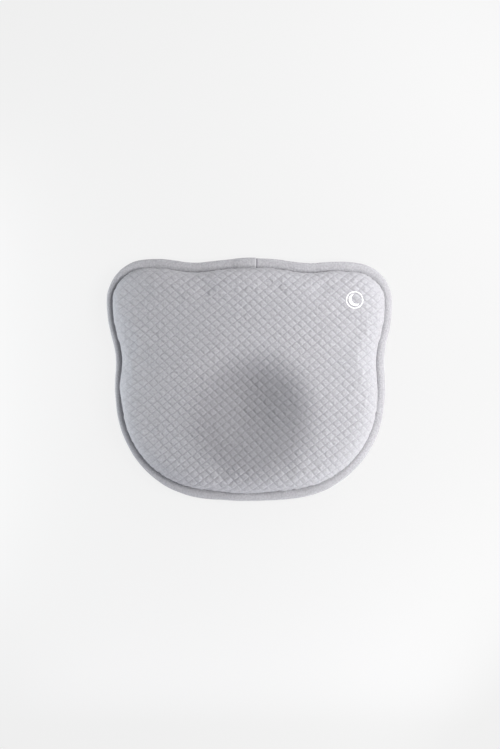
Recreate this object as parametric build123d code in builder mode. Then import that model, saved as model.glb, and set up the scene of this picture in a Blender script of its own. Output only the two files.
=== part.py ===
from build123d import *
import os

# Contoured baby head pillow: a dished memory-foam core in a thin liner, inside a zipped knit cover
# whose two faces meet in a bound edge. Millimetres. The pillow lies on the XY plane, face up (+Z),
# with its two ears towards +Y. The origin is the centre of the footprint, on the surface it lies on.

# ---- driving dimensions -------------------------------------------------------------------------
PILLOW_DEPTH = 220.9          # front edge to ears, along Y; the outline's arcs make it 260 wide
CROWN_Z = 35.4                # top of the dome, before the dish is taken out of it
SEAM_Z = 10.5                 # height of the bound edge's middle

# Right half of the outer edge, from the middle of the front edge to the ears: (radius, sweep in
# degrees) of arcs that run into one another. A negative sweep is a hollow stretch.
FRONT_EDGE = (391, 6)
HAUNCH = (90.7, 75)
FLANK = (161, 14)
WAIST = (82.4, -21)
EAR_SIDE = (119.7, 17)
EAR = (37.3, 84)
EAR_TOP = (132.3, 14)
BROW_DIP = (78.8, -18)
EDGE_ARCS = (FRONT_EDGE, HAUNCH, FLANK, WAIST, EAR_SIDE, EAR, EAR_TOP, BROW_DIP)

# Layers, measured in from the cover's outer face.
COVER = 2.0                   # quilted knit
LINER_OUT = 4.1
LINER_IN = 4.7
FOAM = 4.9

# Bound edge
BINDING_WIDTH = 7.6
BINDING_HALF = 3.0            # half its thickness
BINDING_CLOTH = 1.0
LAP_CLOTH = 0.8               # the strip's folded end, laid over its start
LAP_ENDS = (-8.0, 5.6)        # along X, at the middle of the top edge
WALL_INSET = 7.8              # from the outer edge to the cover's side wall
FLANGE_INSET = 1.4            # from the outer edge to the raw edge inside the binding
FLANGE = 1.9                  # each cover face's seam allowance, pressed flat

# Cushion form
TOP_EDGE_R = 14.0
BASE_EDGE_R = 8.0
DOME_R = 950.0
DISH_Y = -21.0                # the dish lies towards the front edge
DISH_DEPTH = 17.0
DISH_MOUTH_R = 48.0
DISH_RIM_R = 40.0

# Zip across the back, in a trough where the soft pad gives way to it
ZIP_Y = 55.0
TROUGH_Z = 3.6
TROUGH_HALF_LENGTH = 100.0
TROUGH_HALF_WIDTH = 13.0
ZIP_HEADROOM = 1.9            # above the cover, for the slider's inner plate
SLOT_HALF_LENGTH = 90.0
SLOT_HALF_WIDTH = 5.5
PANEL_SEAM = 0.2
TAPE = (194.0, 11.0, 0.6)
TAPE_GAP = 1.2                # between the two tapes' edges
COIL = (170.0, 1.7, 1.5)
STOP_LENGTH = 2.0
THREAD = 0.4

# Slider and pull, at the closed end
SLIDER_X = 78.0
SLIDER_LENGTH = 10.0
SLIDER_NOSE_HALF = 4.2
SLIDER_TAIL_HALF = 3.1
SLIDER_PLATE = 0.8
SLIDER_PLAY = 0.25
BRIDGE_HALF_LENGTH = 3.0
BRIDGE_HALF_WIDTH = 0.8
BRIDGE_BAR = 0.8
BRIDGE_DROP = 1.55            # clear height under the bridge
PULL_LENGTH = 22.0
PULL_HALF_WIDTH = 3.2
PULL_THICKNESS = 0.9
PULL_PIN_R = 0.5
PULL_ARM = (1.1, 2.4)         # from and to, each side of the bridge
PULL_EYE_END = 3.8            # from the pin to the tab

# Trim
EMBLEM_AT = (94.7, 71.3)
EMBLEM_R = 7.8
EMBLEM_LINE = 0.8
EMBLEM_FILM = 0.25
LABEL = (30.0, 18.0, 0.25)
LABEL_AT = (-60.0, 12.0)

# ---- worked out from them -----------------------------------------------------------------------
EDGE_START_Y = -(PILLOW_DEPTH + LAP_CLOTH) / 2
TAPE_Z = TROUGH_Z + COVER                      # the tapes lie on the cover's inner face
COIL_Z = TAPE_Z - COIL[2]
COIL_EDGE = TAPE_GAP / 2 + COIL[1]
SLIDER_OUT_Z = COIL_Z - SLIDER_PLAY            # inner face of the slider's outer plate
SLIDER_IN_Z = TAPE_Z + TAPE[2] + SLIDER_PLAY   # inner face of its inner plate
PIN_Z = SLIDER_OUT_Z - SLIDER_PLATE - BRIDGE_DROP / 2
DISH_BALL_R = (DISH_MOUTH_R**2 + DISH_DEPTH**2) / (2 * DISH_DEPTH)
DISH_FLOOR_Z = CROWN_Z - DISH_DEPTH
DOME_TURN = (0, 90, 0)                         # keeps the ball's seam off the part that is used
DISH_TURN = (0, -90, 0)


def edge_curve(inset):
    """The closed outline, moved in by inset, drawn into the line context that is open."""
    point = Vector(0, EDGE_START_Y + inset)
    heading = Vector(1, 0)
    for radius, sweep in EDGE_ARCS:
        moved = radius - inset if sweep > 0 else radius + inset
        arc = JernArc(point, heading, moved, sweep)
        point = arc @ 1
        heading = arc % 1
    left_over = 180 - sum(sweep for _, sweep in EDGE_ARCS)
    JernArc(point, heading, point.X / heading.Y, left_over)
    mirror(about=Plane.YZ)


def slab(inset, low, high):
    """Everything inside the outline moved in by inset, between two heights."""
    with BuildPart() as body:
        with BuildSketch(Plane.XY.offset(low)):
            with BuildLine():
                edge_curve(inset)
            make_face()
        extrude(amount=high - low)
    return body.part


def cushion(depth, headroom=0.0):
    """The pad's form, every face moved in by depth from the cover's outer face."""
    ceiling = TROUGH_Z + depth + headroom
    spread = depth * 0.414                     # tan(22.5): the 45 degree walls move in too
    with BuildPart() as body:
        with BuildSketch(Plane.XY.offset(depth)):
            with BuildLine():
                edge_curve(WALL_INSET + depth)
            make_face()
        extrude(amount=CROWN_Z)
        with Locations((0, 0, CROWN_Z - DOME_R)):
            Sphere(DOME_R - depth, rotation=DOME_TURN, mode=Mode.INTERSECT)
        with Locations((0, DISH_Y, DISH_FLOOR_Z + DISH_BALL_R)):
            Sphere(DISH_BALL_R + depth, rotation=DISH_TURN, mode=Mode.SUBTRACT)
        dome = body.faces().filter_by(GeomType.SPHERE).sort_by(SortBy.AREA)[-1]
        fillet(dome.inner_wires()[0].edges(), DISH_RIM_R - depth)
        dome = body.faces().filter_by(GeomType.SPHERE).sort_by(SortBy.AREA)[-1]
        fillet(dome.outer_wire().edges(), TOP_EDGE_R - depth)
        fillet(body.faces().sort_by(Axis.Z)[0].edges(), BASE_EDGE_R - depth)
        with BuildSketch(Plane.XY.offset(ceiling)):
            with Locations((0, ZIP_Y)):
                Rectangle(2 * (TROUGH_HALF_LENGTH + spread), 2 * (TROUGH_HALF_WIDTH + spread))
        with BuildSketch(Plane.XY):
            with Locations((0, ZIP_Y)):
                Rectangle(
                    2 * (TROUGH_HALF_LENGTH + spread + ceiling),
                    2 * (TROUGH_HALF_WIDTH + spread + ceiling),
                )
        loft(ruled=True, mode=Mode.SUBTRACT)
    return body.part


cover_outside = cushion(0)
cover_inside = cushion(COVER)
liner_outside = cushion(LINER_OUT, ZIP_HEADROOM)
liner_inside = cushion(LINER_IN, ZIP_HEADROOM)
emblem_outside = cushion(-EMBLEM_FILM)
top_flange = slab(FLANGE_INSET, SEAM_Z, SEAM_Z + FLANGE)
base_flange = slab(FLANGE_INSET, SEAM_Z - FLANGE, SEAM_Z)
seam_plane = Plane.XY.offset(SEAM_Z)
zip_plane = Plane.XZ.offset(-ZIP_Y)            # its normal points to -Y

# ---- core and liner -----------------------------------------------------------------------------
with BuildPart() as foam_core:
    add(cushion(FOAM, ZIP_HEADROOM))

with BuildPart() as liner_top:
    add(liner_outside)
    add(liner_inside, mode=Mode.SUBTRACT)
    split(bisect_by=seam_plane, keep=Keep.TOP)

with BuildPart() as liner_base:
    add(liner_outside)
    add(liner_inside, mode=Mode.SUBTRACT)
    split(bisect_by=seam_plane, keep=Keep.BOTTOM)

# ---- cover --------------------------------------------------------------------------------------
with BuildPart() as cover_face:
    add(cover_outside)
    split(bisect_by=seam_plane, keep=Keep.TOP)
    add(top_flange)
    add(cover_inside, mode=Mode.SUBTRACT)

with BuildPart() as cover_back:
    add(cover_outside)
    split(bisect_by=seam_plane, keep=Keep.BOTTOM)
    add(base_flange)
    add(cover_inside, mode=Mode.SUBTRACT)
    with Locations((0, ZIP_Y, TROUGH_Z)):
        Box(2 * SLOT_HALF_LENGTH, 2 * SLOT_HALF_WIDTH, 3 * COVER, mode=Mode.SUBTRACT)

with BuildPart() as back_panel_upper:
    add(cover_back.part)
    split(bisect_by=zip_plane.offset(-PANEL_SEAM / 2), keep=Keep.BOTTOM)

with BuildPart() as back_panel_lower:
    add(cover_back.part)
    split(bisect_by=zip_plane.offset(PANEL_SEAM / 2), keep=Keep.TOP)

# ---- bound edge ---------------------------------------------------------------------------------
strip_body = slab(0, SEAM_Z - BINDING_HALF, SEAM_Z + BINDING_HALF)
strip_hole = slab(BINDING_WIDTH, 0, SEAM_Z + 2 * BINDING_HALF)
strip_slot = slab(
    BINDING_CLOTH + 0.2,
    SEAM_Z - BINDING_HALF + BINDING_CLOTH,
    SEAM_Z + BINDING_HALF - BINDING_CLOTH,
)
lap_body = slab(
    -LAP_CLOTH, SEAM_Z - BINDING_HALF - LAP_CLOTH, SEAM_Z + BINDING_HALF + LAP_CLOTH
)

with BuildPart() as lap:
    add(lap_body)
    outer = lap.faces().filter_by(Axis.Z).edges()
    fillet(outer, BINDING_HALF + LAP_CLOTH - 0.3)
    with Locations(((LAP_ENDS[0] + LAP_ENDS[1]) / 2, PILLOW_DEPTH / 2, SEAM_Z)):
        Box(LAP_ENDS[1] - LAP_ENDS[0], 40, 20, mode=Mode.INTERSECT)
    add(strip_hole, mode=Mode.SUBTRACT)

with BuildPart() as edge_binding:
    add(strip_body)
    fillet(edge_binding.faces().filter_by(Axis.Z).edges(), BINDING_HALF - 0.3)
    add(strip_hole, mode=Mode.SUBTRACT)
    add(lap.part)
    add(strip_slot, mode=Mode.SUBTRACT)

with BuildPart() as binding_thread:
    for low in (SEAM_Z - BINDING_HALF - THREAD, SEAM_Z + BINDING_HALF):
        with BuildSketch(Plane.XY.offset(low)) as line:
            with BuildLine():
                edge_curve(BINDING_WIDTH - 1.4)
            make_face()
        with BuildSketch(Plane.XY.offset(low), mode=Mode.PRIVATE) as inner:
            with BuildLine():
                edge_curve(BINDING_WIDTH - 1.4 + THREAD)
            make_face()
        extrude(amount=THREAD)
        extrude(inner.sketch, amount=THREAD, mode=Mode.SUBTRACT)
    add(lap.part, mode=Mode.SUBTRACT)

# ---- zip ----------------------------------------------------------------------------------------
with BuildPart() as zip_tape_upper:
    with Locations((0, ZIP_Y + TAPE_GAP / 2, TAPE_Z)):
        Box(*TAPE, align=(Align.CENTER, Align.MIN, Align.MIN))

with BuildPart() as zip_tape_lower:
    with Locations((0, ZIP_Y - TAPE_GAP / 2, TAPE_Z)):
        Box(*TAPE, align=(Align.CENTER, Align.MAX, Align.MIN))

with BuildPart() as zip_coil_upper:
    with Locations((0, ZIP_Y + TAPE_GAP / 2, COIL_Z)):
        Box(*COIL, align=(Align.CENTER, Align.MIN, Align.MIN))
    fillet(zip_coil_upper.faces().sort_by(Axis.Z)[0].edges().filter_by(Axis.X), COIL[1] / 3)

with BuildPart() as zip_coil_lower:
    with Locations((0, ZIP_Y - TAPE_GAP / 2, COIL_Z)):
        Box(*COIL, align=(Align.CENTER, Align.MAX, Align.MIN))
    fillet(zip_coil_lower.faces().sort_by(Axis.Z)[0].edges().filter_by(Axis.X), COIL[1] / 3)

STOP_X = COIL[0] / 2 + STOP_LENGTH / 2
STOP_THICK = COIL[2] + TAPE[2] + 0.6
with BuildPart() as zip_top_stops:
    for side in (-1, 1):
        with Locations((STOP_X, ZIP_Y + side * (COIL_EDGE + TAPE_GAP / 2) / 2, COIL_Z - 0.3)):
            Box(STOP_LENGTH, COIL[1] + 0.6, STOP_THICK, align=(Align.CENTER, Align.CENTER, Align.MIN))
    fillet(zip_top_stops.edges().filter_by(Axis.Z), 0.3)
    add(zip_tape_upper.part, mode=Mode.SUBTRACT)
    add(zip_tape_lower.part, mode=Mode.SUBTRACT)

with BuildPart() as zip_bottom_stop:
    with Locations((-STOP_X, ZIP_Y, COIL_Z - 0.3)):
        Box(STOP_LENGTH, 2 * COIL_EDGE + 0.6, STOP_THICK, align=(Align.CENTER, Align.CENTER, Align.MIN))
    fillet(zip_bottom_stop.edges().filter_by(Axis.Z), 0.5)
    add(zip_tape_upper.part, mode=Mode.SUBTRACT)
    add(zip_tape_lower.part, mode=Mode.SUBTRACT)

with BuildPart() as zip_topstitch:
    with Locations((0, ZIP_Y, TROUGH_Z)):
        with GridLocations(0, 2 * (SLOT_HALF_WIDTH + 2), 1, 2):
            Box(2 * SLOT_HALF_LENGTH, THREAD, THREAD, align=(Align.CENTER, Align.CENTER, Align.MAX))

with BuildPart() as zip_bar_tacks:
    with Locations((0, ZIP_Y, TROUGH_Z)):
        with GridLocations(2 * SLOT_HALF_LENGTH + 3, 0, 2, 1):
            Box(1.6, 2 * SLOT_HALF_WIDTH, THREAD, align=(Align.CENTER, Align.CENTER, Align.MAX))

# ---- slider and pull ----------------------------------------------------------------------------
with BuildPart() as zip_slider:
    half = SLIDER_LENGTH / 2
    plan = [
        (-half, SLIDER_TAIL_HALF),
        (0, SLIDER_TAIL_HALF),
        (half / 2, SLIDER_NOSE_HALF),
        (half, SLIDER_NOSE_HALF),
    ]
    outline = plan + [(x, -y) for x, y in reversed(plan)]
    inside = [(1.1 * x, y - 0.5) for x, y in plan]
    channel = inside + [(x, -y) for x, y in reversed(inside)]
    at = Plane((SLIDER_X, ZIP_Y, SLIDER_OUT_Z - SLIDER_PLATE))
    with BuildSketch(at) as outer_plate:
        Polygon(*outline, align=None)
        fillet(outer_plate.vertices(), 0.4)
    extrude(amount=TAPE_Z - SLIDER_PLAY - SLIDER_OUT_Z + SLIDER_PLATE)
    with BuildSketch(at.offset(SLIDER_PLATE)):
        Polygon(*channel, align=None)
    extrude(amount=TAPE_Z, mode=Mode.SUBTRACT)
    with BuildSketch(Plane((SLIDER_X, ZIP_Y, SLIDER_IN_Z))) as inner_plate:
        Polygon(*outline, align=None)
        fillet(inner_plate.vertices(), 0.4)
    extrude(amount=SLIDER_PLATE)
    with Locations((SLIDER_X + 0.7 * half, ZIP_Y, SLIDER_OUT_Z)):
        Box(
            0.4 * half,
            TAPE_GAP / 2,
            SLIDER_IN_Z - SLIDER_OUT_Z,
            align=(Align.CENTER, Align.CENTER, Align.MIN),
        )
    with BuildSketch(Plane.XZ.offset(-ZIP_Y)):
        with Locations((SLIDER_X, SLIDER_OUT_Z - SLIDER_PLATE)):
            Rectangle(
                2 * BRIDGE_HALF_LENGTH,
                BRIDGE_DROP + BRIDGE_BAR,
                align=(Align.CENTER, Align.MAX),
            )
            Rectangle(
                2 * (BRIDGE_HALF_LENGTH - BRIDGE_BAR),
                BRIDGE_DROP,
                align=(Align.CENTER, Align.MAX),
                mode=Mode.SUBTRACT,
            )
    extrude(amount=BRIDGE_HALF_WIDTH, both=True)

with BuildPart() as zip_pull:
    with BuildSketch(Plane.XZ.offset(-ZIP_Y)):
        with Locations((SLIDER_X, PIN_Z)):
            Circle(PULL_PIN_R)
    extrude(amount=PULL_ARM[1], both=True)
    with BuildSketch(Plane.XY.offset(PIN_Z - PULL_THICKNESS / 2)):
        for side in (-1, 1):
            with Locations((SLIDER_X, ZIP_Y + side * (PULL_ARM[0] + PULL_ARM[1]) / 2)):
                Rectangle(
                    PULL_EYE_END + 1,
                    PULL_ARM[1] - PULL_ARM[0],
                    align=(Align.MAX, Align.CENTER),
                )
        with Locations((SLIDER_X - PULL_EYE_END, ZIP_Y)):
            Rectangle(
                PULL_LENGTH - PULL_EYE_END,
                2 * PULL_HALF_WIDTH,
                align=(Align.MAX, Align.CENTER),
            )
    extrude(amount=PULL_THICKNESS)
    fillet(zip_pull.edges().filter_by(Axis.Z).group_by(Axis.X)[0], 2.2)

# ---- trim ---------------------------------------------------------------------------------------
with BuildPart() as emblem:
    with BuildSketch(Plane.XY.offset(SEAM_Z)):
        with Locations(EMBLEM_AT):
            Circle(EMBLEM_R)
            Circle(EMBLEM_R - EMBLEM_LINE, mode=Mode.SUBTRACT)
    extrude(amount=CROWN_Z)
    with BuildSketch(Plane.XY.offset(SEAM_Z)) as moon:
        with Locations(EMBLEM_AT):
            Circle(EMBLEM_R - 3 * EMBLEM_LINE)
            with Locations((1.8, 1.2)):
                Circle(EMBLEM_R - 3.6 * EMBLEM_LINE, mode=Mode.SUBTRACT)
    extrude(amount=CROWN_Z)
    add(emblem_outside, mode=Mode.INTERSECT)
    add(cover_outside, mode=Mode.SUBTRACT)

with BuildPart() as care_label:
    with Locations((*LABEL_AT, COVER + 0.05)):
        Box(*LABEL, align=(Align.CENTER, Align.CENTER, Align.MIN))
    fillet(care_label.edges().filter_by(Axis.Z), 1.5)

# ---- write every piece --------------------------------------------------------------------------
PIECES = {
    "foam_core": foam_core,
    "liner_top": liner_top,
    "liner_base": liner_base,
    "cover_face": cover_face,
    "back_panel_upper": back_panel_upper,
    "back_panel_lower": back_panel_lower,
    "edge_binding": edge_binding,
    "binding_thread": binding_thread,
    "zip_tape_upper": zip_tape_upper,
    "zip_tape_lower": zip_tape_lower,
    "zip_coil_upper": zip_coil_upper,
    "zip_coil_lower": zip_coil_lower,
    "zip_top_stops": zip_top_stops,
    "zip_bottom_stop": zip_bottom_stop,
    "zip_topstitch": zip_topstitch,
    "zip_bar_tacks": zip_bar_tacks,
    "zip_slider": zip_slider,
    "zip_pull": zip_pull,
    "emblem": emblem,
    "care_label": care_label,
}
for name, piece in PIECES.items():
    piece.part.label = name
    export_step(piece.part, f"parts/{name}.step")
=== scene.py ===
"""Studio view of a baby head pillow: quilted face with a head dish, bound edge, foam core, zipped back."""
import math

import bpy
import numpy as np
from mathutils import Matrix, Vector
from mathutils.bvhtree import BVHTree
from mathutils.kdtree import KDTree


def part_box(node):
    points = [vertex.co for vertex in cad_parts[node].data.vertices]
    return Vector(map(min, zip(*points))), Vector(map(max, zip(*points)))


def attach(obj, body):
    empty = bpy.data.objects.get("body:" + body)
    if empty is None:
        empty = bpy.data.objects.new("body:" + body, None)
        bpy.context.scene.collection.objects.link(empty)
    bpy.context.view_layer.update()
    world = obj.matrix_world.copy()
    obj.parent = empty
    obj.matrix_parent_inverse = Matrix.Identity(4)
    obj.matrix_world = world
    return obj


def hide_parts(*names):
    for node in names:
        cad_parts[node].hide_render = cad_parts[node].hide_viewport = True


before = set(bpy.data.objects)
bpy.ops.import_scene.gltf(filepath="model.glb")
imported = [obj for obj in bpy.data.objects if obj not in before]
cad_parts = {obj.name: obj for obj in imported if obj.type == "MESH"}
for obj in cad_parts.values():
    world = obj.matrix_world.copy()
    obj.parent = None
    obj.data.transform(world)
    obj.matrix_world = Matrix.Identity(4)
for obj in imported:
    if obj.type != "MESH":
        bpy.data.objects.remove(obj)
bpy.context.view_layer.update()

# ---- the pillow's form, in metres ---------------------------------------------------------------
# Right half of the outer edge, from the middle of the front to the ears: (radius, sweep in degrees).
EDGE_ARCS = (
    (0.391, 6),        # front edge
    (0.0907, 75),      # haunch
    (0.161, 14),       # flank
    (0.0824, -21),     # waist
    (0.1197, 17),      # side of the ear
    (0.0373, 84),      # ear
    (0.1323, 14),      # top of the ear
    (0.0788, -18),     # dip at the brow
)
EDGE_SAMPLES = 3600

FRONT_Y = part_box("edge_binding")[0][1]
THREAD_LOW, THREAD_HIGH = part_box("binding_thread")
SEAM_Z = (THREAD_LOW[2] + THREAD_HIGH[2]) / 2
BINDING_HALF = 0.003
CROWN_Z = 0.0354
DOME_RADIUS = 0.95

DISH = Vector((0.0, -0.021))
DISH_RADIUS = 0.060
DISH_DEPTH = 0.0125
DISH_SHADE_CENTRE = (0.004, -0.015)         # painted shade over the dish: its centre, from the dish's middle
DISH_SHADE_FULL, DISH_SHADE_END = 0.036, 0.072
DISH_SHADE_SHARE = 0.64

# The face runs level to RIM_INSET from the outer edge, and from there it rolls down to the seam.
RIM_INSET = 0.0278
RIM_FULLNESS = 2.5     # exponent of the roll: 2 is an ellipse, more is fuller
RIM_HEIGHT = 0.016
FACE_TUCK = 0.004      # how far the face runs on into the binding
SEAM_INSET = 0.0078    # mean distance from the outer edge to the seam
FACE_SEAM_Z = SEAM_Z + 0.0012

# The back lies level to BACK_INSET from the outer edge, and from there it rolls up to the seam.
BACK_INSET = 0.0158
BACK_FULLNESS = 2.2
BACK_SEAM_Z = SEAM_Z - 0.0012
BACK_LEVEL = 0.00022
BACK_CLOTH = 0.0016

STITCH_LOW, STITCH_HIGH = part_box("zip_topstitch")
ZIP_Y = (STITCH_LOW[1] + STITCH_HIGH[1]) / 2
TROUGH_Z = STITCH_HIGH[2]
TROUGH_HALF = (0.101, 0.013)     # the trough that the zip is set in
SLOT_HALF = (STITCH_HIGH[0], 0.0055)

# Quilting: diamonds across and up, their lean, and how far the rows bow
DIAMOND = (0.00905, 0.00795)
QUILT_LEAN = math.radians(-3)
QUILT_BOW = 60.0       # cycles per square metre
QUILT_STEPS = 8        # mesh steps across a diamond's side
QUILT_DEPTH = 0.00078
FLANK_PULL = 0.7
QUILT_SLOPE = 0.26     # share of a diamond's side that each flank of a groove takes

# Where the sewn pillow strays from its pattern: (x, y), reach, (dx, dy)
STRAYS = (
    ((0.0, 0.108), 0.055, (0.0036, 0.0)),
    ((-0.092, 0.100), 0.030, (0.0, 0.0010)),
    ((0.092, 0.100), 0.030, (-0.0008, -0.0020)),
    ((0.122, -0.010), 0.050, (0.0007, 0.0)),
    ((-0.121, 0.015), 0.040, (0.0006, 0.0)),
    ((-0.112, -0.055), 0.040, (0.0011, 0.0)),
)

# Shallow hollows in the face: from, to, half width, depth
HOLLOWS = (
    ((0.088, 0.098), (0.062, 0.082), 0.008, 0.0011),
    ((-0.104, 0.094), (-0.112, 0.072), 0.007, 0.0009),
    ((0.082, 0.058), (0.094, 0.052), 0.006, 0.0005),
    ((-0.052, 0.098), (-0.040, 0.080), 0.009, 0.0006),
)


def smooth(value):
    """Eases 0 to 1 with level ends."""
    value = np.clip(value, 0, 1)
    return value * value * (3 - 2 * value)


def trace_edge():
    """Points and outward normals round the whole outer edge, evenly spaced, from the front's middle."""
    point = np.array([0.0, FRONT_Y])
    heading = 0.0
    points, headings = [], []
    arcs = list(EDGE_ARCS)
    while arcs:
        radius, sweep = arcs.pop(0)
        signed = math.copysign(radius, sweep)
        turn = heading + np.radians(sweep) * np.linspace(0, 1, 400, endpoint=False)
        end = heading + math.radians(sweep)
        run = signed * np.stack([np.sin(turn) - math.sin(heading), math.cos(heading) - np.cos(turn)], 1)
        points.append(point + run)
        headings.append(turn)
        point = point + signed * np.array(
            [math.sin(end) - math.sin(heading), math.cos(heading) - math.cos(end)]
        )
        heading = end
        if not arcs and heading < math.pi - 1e-6:
            arcs.append((point[0] / math.sin(heading), math.degrees(math.pi - heading)))
    right = np.concatenate(points)
    turn = np.concatenate(headings)
    normal = np.stack([np.sin(turn), -np.cos(turn)], 1)
    mirrored = np.array([-1, 1])
    loop = np.concatenate([right, [point], (right * mirrored)[:0:-1]])
    out = np.concatenate([normal, [[0, 1]], (normal * mirrored)[:0:-1]])
    closed = np.concatenate([loop, loop[:1]])
    length = np.concatenate([[0], np.cumsum(np.linalg.norm(np.diff(closed, axis=0), axis=1))])
    even = np.linspace(0, length[-1], EDGE_SAMPLES, endpoint=False)
    out = np.concatenate([out, out[:1]])
    even_points = np.stack([np.interp(even, length, closed[:, k]) for k in (0, 1)], 1)
    even_out = np.stack([np.interp(even, length, out[:, k]) for k in (0, 1)], 1)
    even_out /= np.linalg.norm(even_out, axis=1)[:, None]
    return even_points, even_out, length[-1]


EDGE, EDGE_OUT, EDGE_LENGTH = trace_edge()


def edge_at(distance):
    """Point and outward normal at distances along the outer edge."""
    index = np.asarray(distance) / EDGE_LENGTH * EDGE_SAMPLES
    low = np.floor(index).astype(int)
    share = (index - low)[:, None]
    low, high = low % EDGE_SAMPLES, (low + 1) % EDGE_SAMPLES
    out = EDGE_OUT[low] * (1 - share) + EDGE_OUT[high] * share
    return EDGE[low] * (1 - share) + EDGE[high] * share, out / np.linalg.norm(out, axis=1)[:, None]


def seam_inset(out):
    """How far in the face meets the binding: the strip shows wider at the front and the ears."""
    return 0.0064 + 0.0006 * out[:, 0] + 0.0026 * out[:, 1] ** 2


def stray(points):
    """Moves points in plan to where the sewing left them."""
    moved = points.copy()
    for centre, reach, shift in STRAYS:
        away = np.linalg.norm(points[:, :2] - centre, axis=1)
        moved[:, :2] += np.exp(-((away / reach) ** 2))[:, None] * shift
    return moved


def dome(plan):
    """Height of the level part of the face."""
    height = CROWN_Z - (plan**2).sum(1) / (2 * DOME_RADIUS)
    away = np.linalg.norm(plan - np.array(DISH), axis=1) / DISH_RADIUS
    height -= DISH_DEPTH * np.where(away < 1, (1 + np.cos(np.pi * np.minimum(away, 1))) / 2, 0)
    for start, end, half_width, depth in HOLLOWS:
        start, run = np.array(start), np.array(end) - start
        along = np.clip(((plan - start) @ run) / (run @ run), 0, 1)
        aside = np.linalg.norm(plan - start - along[:, None] * run, axis=1)
        height -= depth * np.exp(-((aside / half_width) ** 2))
    return height


def roll_table(inset, height, fullness):
    """A roll from a level panel to the seam: arc length, share across, share of the height."""
    angle = np.linspace(0, math.pi / 2, 200)
    across = np.sin(angle) ** (2 / fullness)
    down = 1 - np.cos(angle) ** (2 / fullness)
    steps = np.hypot(np.diff(across) * (inset - SEAM_INSET), np.diff(down) * height)
    return np.concatenate([[0], np.cumsum(steps)]), across, down


def rim_distance(flat, inset):
    """For points of a flat panel: distance beyond the level part, where that ends, outward normal."""
    rim = EDGE - inset * EDGE_OUT
    tree = KDTree(EDGE_SAMPLES)
    for index, point in enumerate(rim):
        tree.insert((*point, 0), index)
    tree.balance()
    nearest = np.array([tree.find((x, y, 0))[1] for x, y in flat])
    tangent = np.stack([-EDGE_OUT[:, 1], EDGE_OUT[:, 0]], 1)
    spacing = np.linalg.norm(np.roll(rim, -1, 0) - np.roll(rim, 1, 0), axis=1) / 2
    offset = ((flat - rim[nearest]) * tangent[nearest]).sum(1) / spacing[nearest]
    distance = (nearest + np.clip(offset, -1, 1)) * EDGE_LENGTH / EDGE_SAMPLES
    edge, out = edge_at(distance)
    start = edge - inset * out
    return ((flat - start) * out).sum(1), start, out


def lay_panel(flat, inset, roll, level, seam_z, stretch=0.15):
    """Lays points of a flat panel over the pillow.

    Also gives how far past the seam each one is, its share of the way down and the outward normal.
    """
    length, across, down = roll
    beyond, start, out = rim_distance(flat, inset)
    over = np.maximum(beyond, 0)
    travel = over + stretch * over**2 / (over + 0.01)      # the knit stretches a little on the roll
    tucked = np.maximum(travel - length[-1], 0)
    reach = np.interp(travel, length, across) * (inset - seam_inset(out)) + tucked
    plan = np.where((beyond > 0)[:, None], start + out * reach[:, None], flat)
    share = np.interp(travel, length, down)
    return np.column_stack([plan, level(plan) * (1 - share) + seam_z * share]), tucked, share, out


def face_form(flat):
    roll = roll_table(RIM_INSET, RIM_HEIGHT, RIM_FULLNESS)
    return lay_panel(flat, RIM_INSET, roll, dome, FACE_SEAM_Z)


def back_level(plan):
    """Height of the back where it lies down, with the trough for the zip and the seam at its ends."""
    x, y = np.abs(plan[:, 0]), np.abs(plan[:, 1] - ZIP_Y)
    outside = np.maximum(x - TROUGH_HALF[0], y - TROUGH_HALF[1])
    trough = TROUGH_Z * (1 - smooth(outside / 0.0045))
    seam = 0.0009 * np.exp(-((y / 0.0009) ** 2)) * smooth((x - SLOT_HALF[0]) / 0.004)
    waves = 0.00012 * np.sin(plan[:, 0] * 170 + 2 * np.sin(plan[:, 1] * 60)) * np.sin(plan[:, 1] * 140)
    return BACK_LEVEL + waves + np.maximum(trough - BACK_LEVEL, 0) + seam


def back_form(flat):
    roll = roll_table(BACK_INSET, BACK_SEAM_Z, BACK_FULLNESS)
    return lay_panel(flat, BACK_INSET, roll, back_level, BACK_SEAM_Z)


# ---- mesh helpers -------------------------------------------------------------------------------
def mesh_object(name, points, faces, uv=None):
    """A mesh from arrays. uv is one pair for each point."""
    mesh = bpy.data.meshes.new(name)
    points = np.asarray(points, dtype=np.float64)
    faces = np.asarray(faces, dtype=np.int32)
    mesh.vertices.add(len(points))
    mesh.vertices.foreach_set("co", points.ravel())
    sides = faces.shape[1]
    mesh.loops.add(faces.size)
    mesh.loops.foreach_set("vertex_index", faces.ravel())
    mesh.polygons.add(len(faces))
    mesh.polygons.foreach_set("loop_start", np.arange(0, faces.size, sides, dtype=np.int32))
    if uv is not None:
        layer = mesh.uv_layers.new(name="cloth")
        layer.data.foreach_set("uv", np.asarray(uv, dtype=np.float32)[faces.ravel()].ravel())
    mesh.update(calc_edges=True)
    mesh.validate()
    mesh.polygons.foreach_set("use_smooth", [True] * len(mesh.polygons))
    made = bpy.data.objects.new(name, mesh)
    bpy.context.collection.objects.link(made)
    return made


def vertex_array(mesh, what):
    values = np.empty(len(mesh.vertices) * 3)
    mesh.vertices.foreach_get(what, values)
    return values.reshape(-1, 3)


def mark_points(mesh, name, values):
    """Stores one number for each point, which a material can read."""
    data = mesh.attributes.new(name, "FLOAT", "POINT").data
    data.foreach_set("value", np.asarray(values, dtype=np.float32))


def grid_faces(rows, columns, closed_rows=False, closed_columns=False):
    """Quads of a grid of points numbered row by row."""
    row = np.arange(rows if closed_rows else rows - 1)
    column = np.arange(columns if closed_columns else columns - 1)
    row, column = np.meshgrid(row, column, indexing="ij")
    next_row, next_column = (row + 1) % rows, (column + 1) % columns
    corners = (row * columns + column, next_row * columns + column,
               next_row * columns + next_column, row * columns + next_column)
    return np.stack([corner.ravel() for corner in corners], 1)


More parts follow.
